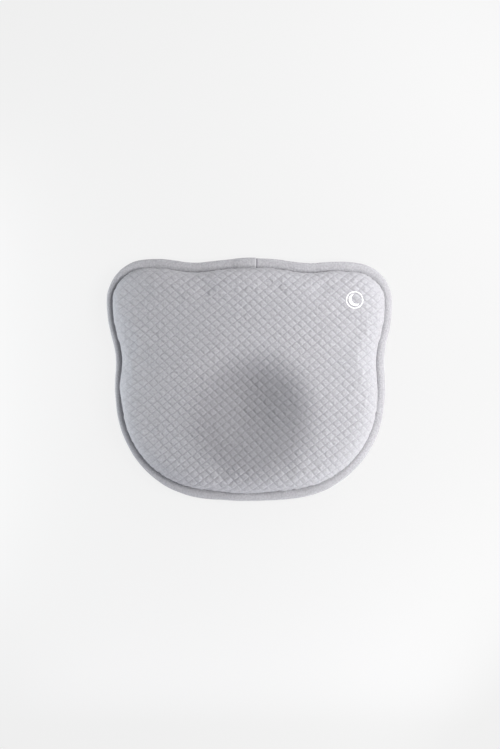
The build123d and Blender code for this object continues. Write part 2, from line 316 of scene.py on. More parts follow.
def kept_faces(faces, used, total):
    """The faces whose points are all in use, numbered as the points in use are."""
    number = np.full(total, -1)
    number[used] = np.arange(len(used))
    faces = number[faces]
    return faces[(faces >= 0).all(1)]


# ---- quilted face -------------------------------------------------------------------------------
def quilt_place(cycles):
    """Where a point of the quilting pattern is on the flat panel. cycles counts diamonds across and up."""
    across = np.array([math.cos(QUILT_LEAN), math.sin(QUILT_LEAN)]) / DIAMOND[0]
    up = np.array([-math.sin(QUILT_LEAN), math.cos(QUILT_LEAN)]) / DIAMOND[1]
    back = np.linalg.inv(np.stack([across, up]))
    flat = cycles @ back.T
    for _ in range(6):
        bowed = cycles - np.column_stack([QUILT_BOW * flat[:, 1] ** 2, np.zeros(len(flat))])
        flat = bowed @ back.T
    return flat


def groove_rise(phase):
    """0 in the groove, 1 on the diamond."""
    aside = np.abs(phase - np.round(phase)) / QUILT_SLOPE
    return 1 - (1 - np.minimum(aside, 1)) ** 2


SETTLE_GRID = 0.004
SETTLE_FRAMES = 24
SETTLE_OUT, SETTLE_IN = 0.0024, 0.0004      # how far the foam lets the cloth move


def settle():
    """Cloth simulation of the face panel, sewn down at its seam and pushed out by the foam.

    Gives the flat grid's lines and how far the cloth moved at each crossing.
    """
    x = np.arange(-0.152, 0.1521, SETTLE_GRID)
    y = np.arange(-0.132, 0.1321, SETTLE_GRID)
    flat = np.stack(np.meshgrid(x, y, indexing="ij"), 2).reshape(-1, 2)
    moved = np.zeros((len(flat), 3))
    points, tucked, _, _ = face_form(flat)
    used = np.flatnonzero(tucked < FACE_TUCK)
    quads = kept_faces(grid_faces(len(x), len(y)), used, len(flat))
    cloth = mesh_object("settling_cloth", points[used], quads)
    rest, out = points[used], vertex_array(cloth.data, "normal")
    sewn = cloth.vertex_groups.new(name="sewn")
    sewn.add([int(k) for k in np.flatnonzero(tucked[used] > 0)], 1.0, "REPLACE")
    modifier = cloth.modifiers.new("Cloth", "CLOTH")
    settings = modifier.settings
    settings.quality = 6
    settings.mass = 0.12
    settings.tension_stiffness = settings.compression_stiffness = 14
    settings.shear_stiffness = 5
    settings.bending_stiffness = 0.4
    settings.vertex_group_mass = "sewn"
    settings.use_pressure = True
    settings.uniform_pressure_force = 1.2
    settings.shrink_min = -0.012                          # the panel is cut a little large
    settings.effector_weights.gravity = 0
    modifier.point_cache.frame_start, modifier.point_cache.frame_end = 1, SETTLE_FRAMES
    for step in range(1, SETTLE_FRAMES + 1):
        bpy.context.scene.frame_set(step)
    settled = cloth.evaluated_get(bpy.context.evaluated_depsgraph_get())
    shift = vertex_array(settled.data, "co") - rest
    bpy.context.scene.frame_set(1)
    bpy.data.objects.remove(cloth)
    lift = (shift * out).sum(1)
    most = np.where(lift > 0, SETTLE_OUT, SETTLE_IN)
    capped = most * np.tanh(lift / most)
    moved[used] = out * capped[:, None]
    return x, y, moved.reshape(len(x), len(y), 3)


def settled_shift(flat):
    """The simulated movement at points of the flat panel."""
    x, y, moved = settle()
    place = np.stack([(flat[:, 0] - x[0]) / SETTLE_GRID, (flat[:, 1] - y[0]) / SETTLE_GRID], 1)
    low = np.floor(place).astype(int)
    share = smooth(place - low)
    shift = 0
    for i in (0, 1):
        for j in (0, 1):
            weight = np.abs(1 - i - share[:, 0]) * np.abs(1 - j - share[:, 1])
            shift = shift + weight[:, None] * moved[low[:, 0] + i, low[:, 1] + j]
    return shift


def quilted_face():
    """The knit face, its mesh laid along the quilting so that every groove is crisp."""
    count = int(0.33 / min(DIAMOND)) * QUILT_STEPS
    steps = np.arange(-count, count + 1)
    first, second = np.meshgrid(steps, steps, indexing="ij")
    phases = np.column_stack([first.ravel(), second.ravel()]) / QUILT_STEPS
    cycles = np.column_stack([phases.sum(1), phases[:, 0] - phases[:, 1]]) / 2
    flat = quilt_place(cycles)
    reach = np.abs(flat) < np.array([0.150, 0.130])
    near = np.flatnonzero(reach.all(1))
    points, tucked, down, out = face_form(flat[near])
    kept = tucked < FACE_TUCK
    used = near[kept]
    points = points[kept] + settled_shift(flat[used])
    quads = kept_faces(grid_faces(len(steps), len(steps)), used, len(flat))[:, ::-1]
    face = mesh_object("quilted_face", stray(points), quads, cycles[used])
    normals = vertex_array(face.data, "normal")
    rise = groove_rise(phases[used, 0]) * groove_rise(phases[used, 1])
    cell = np.floor(phases[used]).astype(int)
    puff = np.random.default_rng(7).uniform(0.75, 1.15, (count + 2, count + 2))
    rise *= puff[cell[:, 0] % len(puff), cell[:, 1] % len(puff)]
    # the knit is pulled flatter where it turns down at the sides
    relief = 1 - FLANK_PULL * smooth((down[kept] - 0.05) / 0.45) * smooth(np.abs(out[kept, 0]) * 1.6 - 0.5)
    mark_points(face.data, "relief", relief)
    lifted = vertex_array(face.data, "co") + normals * (QUILT_DEPTH * relief * (rise - 0.4))[:, None]
    face.data.vertices.foreach_set("co", lifted.ravel())
    face.data.update()
    return face


# ---- binding ------------------------------------------------------------------------------------
LAP_STARTS_X = 0.0022      # the folded end that shows
LAP_RUNS_TO_X = -0.0110    # the end under it
LAP_RISE = 0.0017


def binding_profile(count):
    """The strip's section: share of its width in from the edge, and height about the seam, once round."""
    turn = np.linspace(0, 2 * math.pi, count, endpoint=False)
    across = (1 - np.sign(np.cos(turn)) * np.abs(np.cos(turn)) ** 0.8) / 2
    height = np.sign(np.sin(turn)) * np.abs(np.sin(turn)) ** 0.62
    height *= 1 - 0.10 * smooth((across - 0.55) / 0.45)
    pinch = np.exp(-(((across - 0.80) / 0.07) ** 2))    # where the stitches pull it in
    return across, height * (1 - 0.07 * pinch), pinch


def edge_distance_at_x(x):
    """Distance along the edge to the point of the ear side with this x, near the middle."""
    top = np.flatnonzero((EDGE[:, 1] > 0) & (np.abs(EDGE[:, 0]) < 0.03))
    return top[np.abs(EDGE[top, 0] - x).argmin()] * EDGE_LENGTH / EDGE_SAMPLES


def binding():
    """The folded strip, which starts under its own lapped end and runs once round."""
    start = edge_distance_at_x(LAP_STARTS_X)
    lap = edge_distance_at_x(LAP_RUNS_TO_X) - start
    total = EDGE_LENGTH + lap
    rows = int(total / 0.0008)
    travel = np.linspace(0, total, rows)
    fold = np.array([0.0, 0.35, 0.75, 0.95])             # rows that round the folded end
    travel = np.concatenate([fold * 0.0003 - 0.0003, travel])
    edge, out = edge_at(start + travel)
    across, height, pinch = binding_profile(40)
    lift = LAP_RISE * (1 - smooth((travel - lap) / 0.010))
    lift[: len(fold)] = LAP_RISE * (1.4 * np.sqrt(1 - (1 - fold) ** 2) - 0.4)
    random = np.random.default_rng(3)
    ripple = np.zeros(len(travel))
    for wavelength, size in ((0.037, 0.00016), (0.0213, 0.00012), (0.0127, 0.00006)):
        ripple += size * np.sin(2 * math.pi * travel / wavelength + random.uniform(0, 6))
    fade = smooth(travel / 0.01) * smooth((total - travel) / 0.01)
    ripple *= fade
    width = seam_inset(out) + 0.0004
    stitch = 0.5 + 0.5 * np.cos(2 * math.pi * travel / STITCH_PITCH)
    inset = across[None, :] * width[:, None]
    rise = height[None, :] * (BINDING_HALF + ripple[:, None] * np.sign(height)[None, :])
    rise -= 0.00018 * pinch[None, :] * stitch[:, None] * np.sign(height)[None, :]
    away_y = height[None, :]
    away_x = (0.5 - across)[None, :] * 2
    size = np.hypot(away_x, away_y) + 1e-9
    inset = inset - 0.4 * lift[:, None] * away_x / size - 0.4 * ripple[:, None] * away_x
    rise = rise + lift[:, None] * away_y / size
    plan = edge[:, None, :] - inset[:, :, None] * out[:, None, :]
    points = np.concatenate([plan, (SEAM_Z + rise)[:, :, None]], 2).reshape(-1, 3)
    girth = np.cumsum(np.hypot(np.diff(across * 0.0076, append=0), np.diff(height * 0.003, append=0)))
    uv = np.stack(np.broadcast_arrays(travel[:, None], girth[None, :]), 2).reshape(-1, 2)
    made = mesh_object("binding_strip", stray(points), grid_faces(len(travel), 40, closed_columns=True), uv)
    # painted highlight along the folded end, and painted shade just past it and along the seam
    painted_light = 0.6 * np.exp(-((travel / 0.0009) ** 2))
    painted_light -= 0.9 * np.exp(-(((travel - (total - lap) + 0.0008) / 0.0006) ** 2))
    seam = -0.55 * smooth((across - 0.86) / 0.12) * (height > 0)
    mark_points(made.data, "painted_light", (painted_light[:, None] + seam[None, :]).ravel())
    return made


# ---- stitches -----------------------------------------------------------------------------------
STITCH_PITCH = 0.0030
STITCH_LENGTH = 0.0024
THREAD_RADIUS = 0.00022


def stitches(name, centres, directions, ups, length=STITCH_LENGTH, radius=THREAD_RADIUS):
    """A row of thread stitches, each arched out of the cloth and diving back into it at both ends."""
    sides, rings = 7, 7
    along = np.linspace(-0.5, 0.5, rings)
    thickness = np.array([0.55, 0.9, 1.0, 1.0, 1.0, 0.9, 0.55])
    arch = radius * (0.6 - 6.5 * along**2)
    angle = np.linspace(0, 2 * math.pi, sides, endpoint=False)
    side = np.cross(directions, ups)
    side /= np.linalg.norm(side, axis=1)[:, None]
    spine = (centres[:, None, :] + directions[:, None, :] * (along * length)[None, :, None]
             + ups[:, None, :] * arch[None, :, None])
    around = (side[:, None, None, :] * np.cos(angle)[None, None, :, None]
              + ups[:, None, None, :] * np.sin(angle)[None, None, :, None])
    points = spine[:, :, None, :] + around * (thickness * radius)[None, :, None, None]
    one = grid_faces(rings, sides, closed_columns=True)
    faces = (one[None] + (np.arange(len(centres)) * rings * sides)[:, None, None]).reshape(-1, 4)
    uv = np.tile(
        np.stack(np.meshgrid(along * length, angle / 6.3, indexing="ij"), 2).reshape(-1, 2),
        (len(centres), 1),
    )
    return mesh_object(name, points.reshape(-1, 3), faces, uv)


def surface_height(tree, plan, from_above=True):
    """Drops points on to a piece's surface, from above or from below."""
    heights = np.empty(len(plan))
    for index, (x, y) in enumerate(plan):
        start = (x, y, 0.1 if from_above else -0.1)
        hit = tree.ray_cast(start, (0, 0, -1 if from_above else 1))[0]
        heights[index] = hit.z if hit else np.nan
    return heights


def tree_of(piece):
    points = [tuple(v.co) for v in piece.data.vertices]
    return BVHTree.FromPolygons(points, [tuple(p.vertices) for p in piece.data.polygons])


def binding_stitches(strip):
    """Both rows that hold the strip: one on the face's side, one on the back's."""
    count = int(EDGE_LENGTH / STITCH_PITCH)
    travel = np.arange(count) * EDGE_LENGTH / count
    edge, out = edge_at(travel)
    plan = edge - out * (seam_inset(out) * 0.80)[:, None]
    plan = stray(np.column_stack([plan, np.zeros(count)]))[:, :2]
    along = np.column_stack([-out[:, 1], out[:, 0], np.zeros(count)])
    tree = tree_of(strip)
    rows = []
    for above in (True, False):
        height = surface_height(tree, plan, above)
        found = ~np.isnan(height)
        up = np.array([0, 0, 1.0 if above else -1.0])
        centres = np.column_stack([plan, height])[found]
        rows.append((centres, along[found], np.repeat(up[None], found.sum(), 0)))
    return stitches("binding_stitches", *(np.concatenate(part) for part in zip(*rows)))


# ---- back of the cover --------------------------------------------------------------------------
def back_panel(name, side):
    """One of the two back panels, on this side of the zip (1 is towards the ears), with its slot half."""
    near_zip = np.array([0.0001, 0.0005, 0.0011, 0.0020, 0.0037, SLOT_HALF[1], 0.0062, 0.0073, 0.0090])
    across = np.arange(-75, 76) * 0.002
    away = np.concatenate([near_zip, np.arange(0.0108, 0.190, 0.0018)])
    across, away = np.meshgrid(across, away, indexing="ij")
    rows, columns = across.shape
    flat = np.column_stack([across.ravel(), ZIP_Y + side * away.ravel()])
    keep = (np.abs(flat) < (0.150, 0.130)).all(1)
    points = np.zeros((len(flat), 3))
    tucked = np.full(len(flat), 1.0)
    points[keep], tucked[keep] = back_form(flat[keep])[:2]
    in_slot = (np.abs(flat[:, 0]) < SLOT_HALF[0] - 0.001) & (away.ravel() < SLOT_HALF[1] - 0.0001)
    rim = (np.abs(flat[:, 0]) < SLOT_HALF[0] + 0.001) & (away.ravel() < SLOT_HALF[1] + 0.0001)
    points[rim, 2] += 0.0004                              # the folded edge beside the zip
    good = (tucked < FACE_TUCK) & ~in_slot
    quads = grid_faces(rows, columns)
    middle = flat[quads].mean(1)
    over_slot = (np.abs(middle[:, 0]) < SLOT_HALF[0]) & (np.abs(middle[:, 1] - ZIP_Y) < SLOT_HALF[1])
    quads = kept_faces(quads[~over_slot], np.flatnonzero(good), len(flat))
    if side > 0:
        quads = quads[:, ::-1]                            # facing out
    panel = mesh_object(name, stray(points[good]), quads, flat[good])
    thick = panel.modifiers.new("cloth", "SOLIDIFY")
    thick.thickness = BACK_CLOTH
    thick.offset = -1
    return panel


def topstitch():
    """A row of stitches each side of the zip."""
    x = np.arange(-SLOT_HALF[0] + 0.002, SLOT_HALF[0] - 0.001, STITCH_PITCH)
    rows = [np.column_stack([x, np.full(len(x), y), np.full(len(x), TROUGH_Z + 0.0001)])
            for y in (STITCH_LOW[1] + 0.0002, STITCH_HIGH[1] - 0.0002)]
    centres = np.concatenate(rows)
    count = len(centres)
    along, down = np.tile([1.0, 0, 0], (count, 1)), np.tile([0, 0, -1.0], (count, 1))
    return stitches("zip_stitches", centres, along, down)


def bar_tacks():
    """A dense satin bar across each end of the zip."""
    low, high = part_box("zip_bar_tacks")
    y = np.arange(low[1], high[1], 0.00032)
    bar = high[0] - 0.0008
    centres = np.concatenate([np.column_stack([np.full(len(y), x), y, np.full(len(y), TROUGH_Z + 0.0003)])
                              for x in (-bar, bar)])
    count = len(centres)
    return stitches("zip_tacks", centres, np.tile([1.0, 0.12, 0], (count, 1)),
                    np.tile([0, 0, -1.0], (count, 1)), 0.0021, 0.00018)


def zip_coil(name, stands_for, side):
    """One nylon coil: a monofilament wound along the tape's edge, its heads towards the other coil."""
    low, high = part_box(stands_for)
    pitch, wire = 0.00125, 0.00027
    turns = (high[0] - low[0]) / pitch
    steps = int(turns * 14)
    turn = np.linspace(0, turns, steps) + (0.5 if side > 0 else 0)
    angle = 2 * math.pi * turn
    heads = high[1] - low[1] + 0.0006                     # each head reaches into the other coil
    reach = heads / 2 - wire
    middle_y = (low[1] + high[1]) / 2 - side * 0.0003
    middle_z, rise = (low[2] + high[2]) / 2, (high[2] - low[2]) / 2 - wire
    squared = np.sign(np.sin(angle)) * np.abs(np.sin(angle)) ** 0.7
    spine = np.column_stack([low[0] + wire + (turn - turn[0]) * (pitch - 2 * wire / turns),
                             middle_y + side * reach * np.cos(angle), middle_z + rise * squared])
    ahead = np.gradient(spine, axis=0)
    ahead /= np.linalg.norm(ahead, axis=1)[:, None]
    side_way = np.cross(ahead, [1.0, 0, 0])
    side_way /= np.linalg.norm(side_way, axis=1)[:, None]
    third = np.cross(ahead, side_way)
    ring = np.linspace(0, 2 * math.pi, 6, endpoint=False)
    points = (spine[:, None] + wire * (side_way[:, None] * np.cos(ring)[None, :, None]
                                       + third[:, None] * np.sin(ring)[None, :, None]))
    uv = np.stack(np.broadcast_arrays(turn[:, None], ring[None]), 2).reshape(-1, 2)
    return mesh_object(name, points.reshape(-1, 3), grid_faces(steps, 6, closed_columns=True), uv)


# ---- emblem -------------------------------------------------------------------------------------
def emblem_film(cloth):
    """A ring round a crescent moon, pressed on to the quilting."""
    low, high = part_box("emblem")
    centre = np.array([(low[0] + high[0]) / 2, (low[1] + high[1]) / 2])
    radius = (high[0] - low[0]) / 2
    line = 0.0009
    turn = np.linspace(0, 2 * math.pi, 180, endpoint=False)
    rim = np.column_stack([np.cos(turn), np.sin(turn)])
    ring = np.stack([rim * (radius - line * share) for share in (0, 0.33, 0.67, 1)], 1)
    outer, inner = 0.69 * radius, 0.62 * radius
    shift = np.array([0.23, 0.154]) * radius
    gap = np.linalg.norm(shift)
    lean = math.atan2(shift[1], shift[0])
    tip = math.acos((gap**2 + outer**2 - inner**2) / (2 * gap * outer))
    inner_tip = math.atan2(outer * math.sin(tip), outer * math.cos(tip) - gap)
    share = np.linspace(0, 1, 90)
    outer_turn = lean + tip + share * 2 * (math.pi - tip)
    inner_turn = lean + inner_tip + share * 2 * (math.pi - inner_tip)
    out_arc = outer * np.column_stack([np.cos(outer_turn), np.sin(outer_turn)])
    in_arc = inner * np.column_stack([np.cos(inner_turn), np.sin(inner_turn)]) + shift
    across = np.linspace(0, 1, 9)[None, :, None]
    moon = out_arc[:, None] * (1 - across) + in_arc[:, None] * across
    plan = np.concatenate([ring.reshape(-1, 2), moon.reshape(-1, 2)]) + centre
    faces = np.concatenate(
        [grid_faces(180, 4, closed_rows=True), grid_faces(90, 9) + ring.size // 2]
    )
    height = surface_height(tree_of(cloth), plan) + 0.00012
    film = mesh_object("emblem_film", np.column_stack([plan, height]), faces[:, ::-1], plan)
    thick = film.modifiers.new("film", "SOLIDIFY")
    thick.thickness = 0.00018
    thick.offset = -1
    return film


# ---- materials ----------------------------------------------------------------------------------
def node(tree, kind, inputs=(), **settings):
    """Adds a node. An input is a number, a colour or another node's output."""
    made = tree.nodes.new(kind)
    for key, value in settings.items():
        setattr(made, key, value)
    for key, value in dict(inputs).items():
        if isinstance(value, bpy.types.NodeSocket):
            tree.links.new(value, made.inputs[key])
        else:
            made.inputs[key].default_value = value
    return made


def maths(tree, operation, *values):
    return node(tree, "ShaderNodeMath", dict(enumerate(values)), operation=operation).outputs[0]


def mix(tree, share, first, second):
    """Between two colours."""
    made = node(tree, "ShaderNodeMix", {0: share, 6: first, 7: second}, data_type="RGBA")
    return made.outputs[2]


def noise(tree, scale, detail, vector=None):
    """Noise on these coordinates, or on the object's own."""
    if vector is None:
        vector = node(tree, "ShaderNodeTexCoord").outputs["Object"]
    return node(tree, "ShaderNodeTexNoise", {"Scale": scale, "Detail": detail, "Vector": vector}).outputs[0]


def cloth_coordinates(tree, scale=(1, 1)):
    uv = node(tree, "ShaderNodeTexCoord").outputs["UV"]
    scaled = node(tree, "ShaderNodeVectorMath", {0: uv, 1: (*scale, 1)}, operation="MULTIPLY").outputs[0]
    split = node(tree, "ShaderNodeSeparateXYZ", {0: scaled})
    return scaled, split.outputs[0], split.outputs[1]


def new_material(name, **sockets):
    """A material, its shader with these values, and its node tree."""
    made = bpy.data.materials.new(name)
    made.use_nodes = True
    shader = made.node_tree.nodes["Principled BSDF"]
    for key, value in sockets.items():
        shader.inputs[key.replace("_", " ")].default_value = value
    return made, made.node_tree, shader


def finish_surface(tree, shader, colour, height, distance, strength):
    """Gives the shader its colour, and its relief through a bump of this distance and strength."""
    tree.links.new(colour, shader.inputs["Base Color"])
    bump = node(tree, "ShaderNodeBump", {"Height": height, "Distance": distance, "Strength": strength})
    tree.links.new(bump.outputs[0], shader.inputs["Normal"])


def knit_height(tree, x, y, wale, course):
    """Plain knit: columns of V stitches, wale apart, a new row every course."""
    leg = maths(tree, "PINGPONG", maths(tree, "DIVIDE", x, wale), 0.5)
    row = maths(tree, "MULTIPLY_ADD", leg, 1.4, maths(tree, "DIVIDE", y, course))
    loop = maths(tree, "SINE", maths(tree, "MULTIPLY", row, 2 * math.pi))
    column = maths(tree, "SINE", maths(tree, "MULTIPLY", leg, 2 * math.pi))
    return maths(tree, "MULTIPLY_ADD", loop, 0.35, column)


BINDING_DARK, BINDING_LIGHT = (0.320, 0.317, 0.337, 1), (0.500, 0.496, 0.518, 1)
CLOTH = {"Roughness": 0.92, "Sheen_Weight": 0.25, "Sheen_Roughness": 0.45, "Specular_IOR_Level": 0.15}


def quilted_knit():
    made, tree, shader = new_material("quilted_knit", **CLOTH)
    vector, x, y = cloth_coordinates(tree, DIAMOND)
    _, across, up = cloth_coordinates(tree)
    first = maths(tree, "ADD", across, up)
    second = maths(tree, "SUBTRACT", across, up)
    aside = maths(tree, "MINIMUM", maths(tree, "PINGPONG", first, 0.5), maths(tree, "PINGPONG", second, 0.5))
    groove = node(tree, "ShaderNodeMapRange", {0: aside, 1: 0.0, 2: 0.10, 3: 1.0, 4: 0.0},
                  interpolation_type="SMOOTHSTEP").outputs[0]
    heather = noise(tree, 1500, 3, vector)
    blotch = noise(tree, 22, 1)
    fleck = node(tree, "ShaderNodeMapRange", {0: noise(tree, 560, 2, vector), 1: 0.35, 2: 0.65}).outputs[0]
    flecks = maths(tree, "MULTIPLY_ADD", fleck, 0.5, maths(tree, "MULTIPLY", heather, 0.5))
    colour = mix(tree, flecks, (0.350, 0.347, 0.369, 1), (0.512, 0.507, 0.532, 1))
    colour = mix(tree, maths(tree, "MULTIPLY", blotch, 0.25), colour, (0.40, 0.415, 0.445, 1))
    relief = node(tree, "ShaderNodeAttribute", attribute_name="relief").outputs["Fac"]
    # painted shade in the grooves, weaker where the knit is pulled flatter
    groove = maths(tree, "MULTIPLY", groove, maths(tree, "MULTIPLY", relief, 0.34))
    colour = mix(tree, groove, colour, (0.24, 0.24, 0.26, 1))
    # painted shade: the knit is painted darker towards the dish's middle
    place_x, place_y = object_axes(tree)
    from_dish = node(tree, "ShaderNodeCombineXYZ", {0: place_x, 1: place_y}).outputs[0]
    centre = (DISH[0] + DISH_SHADE_CENTRE[0], DISH[1] + DISH_SHADE_CENTRE[1], 0)
    away = node(tree, "ShaderNodeVectorMath", {0: from_dish, 1: centre},
                operation="DISTANCE").outputs["Value"]
    painted_dish_shade = node(tree, "ShaderNodeMapRange", {0: away, 1: DISH_SHADE_FULL, 2: DISH_SHADE_END, 3: DISH_SHADE_SHARE, 4: 0.0},
                   interpolation_type="SMOOTHSTEP").outputs[0]
    colour = mix(tree, painted_dish_shade, colour, (0.22, 0.22, 0.235, 1))    # painted shade over the dish, darker than the knit's own colour
    height = knit_height(tree, x, y, 0.0011, 0.0009)
    height = maths(tree, "MULTIPLY_ADD", heather, 1.8, height)
    height = maths(tree, "MULTIPLY_ADD", noise(tree, 420, 2, vector), 2.2, height)
    finish_surface(tree, shader, colour, height, 0.00014, 0.8)
    return made


def fine_knit():
    """Close, even knit, for the binding."""
    dark, light = BINDING_DARK, BINDING_LIGHT
    made, tree, shader = new_material("binding_knit", **CLOTH)
    vector, x, y = cloth_coordinates(tree)
    heather = noise(tree, 1400, 3, vector)
    slub = noise(tree, 90, 2)
    fleck = node(tree, "ShaderNodeMapRange", {0: noise(tree, 620, 2, vector), 1: 0.35, 2: 0.65}).outputs[0]
    flecks = maths(tree, "MULTIPLY_ADD", fleck, 0.6, maths(tree, "MULTIPLY", heather, 0.4))
    colour = mix(tree, flecks, dark, light)
    colour = mix(tree, maths(tree, "MULTIPLY", slub, 0.25), colour, dark)
    # the strip's painted highlight lightens the knit here, and its painted shade darkens it
    painted_light = node(tree, "ShaderNodeAttribute", attribute_name="painted_light").outputs["Fac"]
    colour = mix(tree, maths(tree, "MAXIMUM", painted_light, 0.0), colour, (0.62, 0.62, 0.64, 1))
    colour = mix(tree, maths(tree, "MAXIMUM", maths(tree, "MULTIPLY", painted_light, -1.0), 0.0), colour,
                 (0.10, 0.10, 0.11, 1))
    height = maths(tree, "MULTIPLY_ADD", heather, 1.2, knit_height(tree, x, y, 0.0007, 0.0006))
    finish_surface(tree, shader, colour, height, 0.00007, 0.7)
    return made


def spun_thread():
    made, tree, shader = new_material(
        "spun_thread", Roughness=0.7, Sheen_Weight=0.2, Specular_IOR_Level=0.3
    )
    _, x, y = cloth_coordinates(tree)
    twist = maths(tree, "ADD", maths(tree, "MULTIPLY", x, 1400), y)
    ply = maths(tree, "SINE", maths(tree, "MULTIPLY", twist, 2 * math.pi))
    share = maths(tree, "MULTIPLY_ADD", ply, 0.5, 0.5)
    colour = mix(tree, share, (0.36, 0.36, 0.38, 1), (0.48, 0.48, 0.50, 1))
    finish_surface(tree, shader, colour, ply, 0.00005, 0.6)
    return made


def white_film():
    made, tree, shader = new_material("white_film", Roughness=0.45, Specular_IOR_Level=0.4)
    grain = noise(tree, 1200, 3)
    colour = mix(tree, grain, (0.86, 0.86, 0.86, 1), (0.95, 0.95, 0.95, 1))
    finish_surface(tree, shader, colour, grain, 0.00003, 0.4)
    return made


def object_axes(tree):
    """The object's x and y."""
    vector = node(tree, "ShaderNodeTexCoord").outputs["Object"]
    split = node(tree, "ShaderNodeSeparateXYZ", {0: vector})
    return split.outputs[0], split.outputs[1]


def wave(tree, value, pitch):
    """A sine along a length, from 0 to 1."""
    turn = maths(tree, "MULTIPLY", value, 2 * math.pi / pitch)
    return maths(tree, "MULTIPLY_ADD", maths(tree, "SINE", turn), 0.5, 0.5)


def spacer_knit():
    """The back's airy knit: rows of small holes, each row offset by half a hole."""
    made, tree, shader = new_material("back_knit", **CLOTH)
    _, x, y = cloth_coordinates(tree)
    vector = node(tree, "ShaderNodeTexCoord").outputs["Object"]
    first = wave(tree, maths(tree, "MULTIPLY_ADD", y, 0.58, x), 0.0023)
    second = wave(tree, maths(tree, "MULTIPLY_ADD", y, -0.58, x), 0.0023)
    hole = maths(tree, "POWER", maths(tree, "MULTIPLY", first, second), 2.2)
    heather = noise(tree, 1500, 3, vector)
    blotch = noise(tree, 30, 2)
    colour = mix(tree, heather, (0.355, 0.352, 0.372, 1), (0.44, 0.437, 0.458, 1))
    colour = mix(tree, maths(tree, "MULTIPLY", blotch, 0.2), colour, (0.36, 0.37, 0.40, 1))
    colour = mix(tree, maths(tree, "MULTIPLY", hole, 0.55), colour, (0.16, 0.16, 0.175, 1))
    height = maths(tree, "MULTIPLY_ADD", hole, -3.0, maths(tree, "MULTIPLY", heather, 1.2))
    finish_surface(tree, shader, colour, height, 0.00016, 0.8)
    return made


def woven_tape():
    """Herringbone polyester tape."""
    made, tree, shader = new_material("zip_tape", Roughness=0.75, Sheen_Weight=0.15, Specular_IOR_Level=0.25)
    x, y = object_axes(tree)
    slant = maths(tree, "PINGPONG", y, 0.0015)
    rib = wave(tree, maths(tree, "ADD", x, slant), 0.0007)
    warp = wave(tree, y, 0.00045)
    colour = mix(tree, rib, (0.30, 0.30, 0.32, 1), (0.41, 0.41, 0.43, 1))
    colour = mix(tree, maths(tree, "MULTIPLY", noise(tree, 900, 3), 0.3), colour, (0.34, 0.34, 0.36, 1))
    finish_surface(tree, shader, colour, maths(tree, "MULTIPLY_ADD", warp, 0.4, rib), 0.00008, 0.8)
    return made


def nylon():
    made, tree, shader = new_material("zip_nylon", Roughness=0.38, Specular_IOR_Level=0.5,
                                      Subsurface_Weight=0.05, Subsurface_Scale=0.0008)
    grain = noise(tree, 700, 2)
    colour = mix(tree, grain, (0.31, 0.31, 0.33, 1), (0.38, 0.38, 0.40, 1))
    finish_surface(tree, shader, colour, grain, 0.00003, 0.4)
    return made


def lacquered_metal():
    """Grey lacquer over zinc, worn bright where it rubs."""
    made, tree, shader = new_material("zip_metal", Metallic=0.75, Specular_IOR_Level=0.5)
    edge = node(tree, "ShaderNodeNewGeometry").outputs["Pointiness"]
    worn = node(tree, "ShaderNodeMapRange", {0: edge, 1: 0.52, 2: 0.60},
                interpolation_type="SMOOTHSTEP").outputs[0]
    worn = maths(tree, "MULTIPLY", worn, noise(tree, 600, 3))
    orange_peel = noise(tree, 450, 2)
    colour = mix(tree, orange_peel, (0.36, 0.365, 0.38, 1), (0.42, 0.425, 0.44, 1))
    colour = mix(tree, worn, colour, (0.62, 0.62, 0.63, 1))
    rough = maths(tree, "MULTIPLY_ADD", noise(tree, 1800, 3), 0.18, 0.24)
    tree.links.new(rough, shader.inputs["Roughness"])
    finish_surface(tree, shader, colour, orange_peel, 0.00004, 0.35)
    return made


def open_cell_foam():
    made, tree, shader = new_material("memory_foam", Roughness=0.95, Specular_IOR_Level=0.1,
                                      Subsurface_Weight=0.15, Subsurface_Scale=0.002)
    vector = node(tree, "ShaderNodeTexCoord").outputs["Object"]
    cells = node(tree, "ShaderNodeTexVoronoi", {"Vector": vector, "Scale": 1400.0}).outputs["Distance"]
    large = node(tree, "ShaderNodeTexVoronoi", {"Vector": vector, "Scale": 420.0}).outputs["Distance"]
    pores = maths(tree, "MULTIPLY_ADD", large, 0.5, cells)
    colour = mix(tree, pores, (0.62, 0.60, 0.53, 1), (0.86, 0.84, 0.78, 1))
    colour = mix(tree, maths(tree, "MULTIPLY", noise(tree, 18, 3), 0.35), colour, (0.84, 0.80, 0.68, 1))
    finish_surface(tree, shader, colour, pores, 0.0003, 0.8)
    return made


def jersey():
    """Thin white liner: plain knit on the object's own axes, as its form has no layout of its own."""
    made, tree, shader = new_material("liner_knit", **CLOTH)
    x, y = object_axes(tree)
    heather = noise(tree, 1600, 3)
    colour = mix(tree, heather, (0.78, 0.78, 0.78, 1), (0.88, 0.88, 0.88, 1))
    height = maths(tree, "MULTIPLY_ADD", heather, 0.8, knit_height(tree, x, y, 0.0009, 0.0007))
    finish_surface(tree, shader, colour, height, 0.00008, 0.7)
    return made


def satin_ribbon():
    made, tree, shader = new_material("label_satin", Roughness=0.35, Anisotropic=0.6, Sheen_Weight=0.1)
    x, y = object_axes(tree)
    weft, warp = wave(tree, y, 0.0003), wave(tree, x, 0.0008)
    colour = mix(tree, weft, (0.80, 0.80, 0.79, 1), (0.90, 0.90, 0.89, 1))
    finish_surface(tree, shader, colour, maths(tree, "MULTIPLY_ADD", warp, 0.3, weft), 0.00003, 0.6)
    return made


def refinish(material, *names):
    """Gives CAD nodes a finish in their own material slots."""
    for name in names:
        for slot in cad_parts[name].material_slots:
            slot.material = material


# ---- build --------------------------------------------------------------------------------------
face = quilted_face()
strip = binding()
coil_upper = zip_coil("coil_upper", "zip_coil_upper", 1)
coil_lower = zip_coil("coil_lower", "zip_coil_lower", -1)
THREAD, NYLON, BACK = spun_thread(), nylon(), spacer_knit()

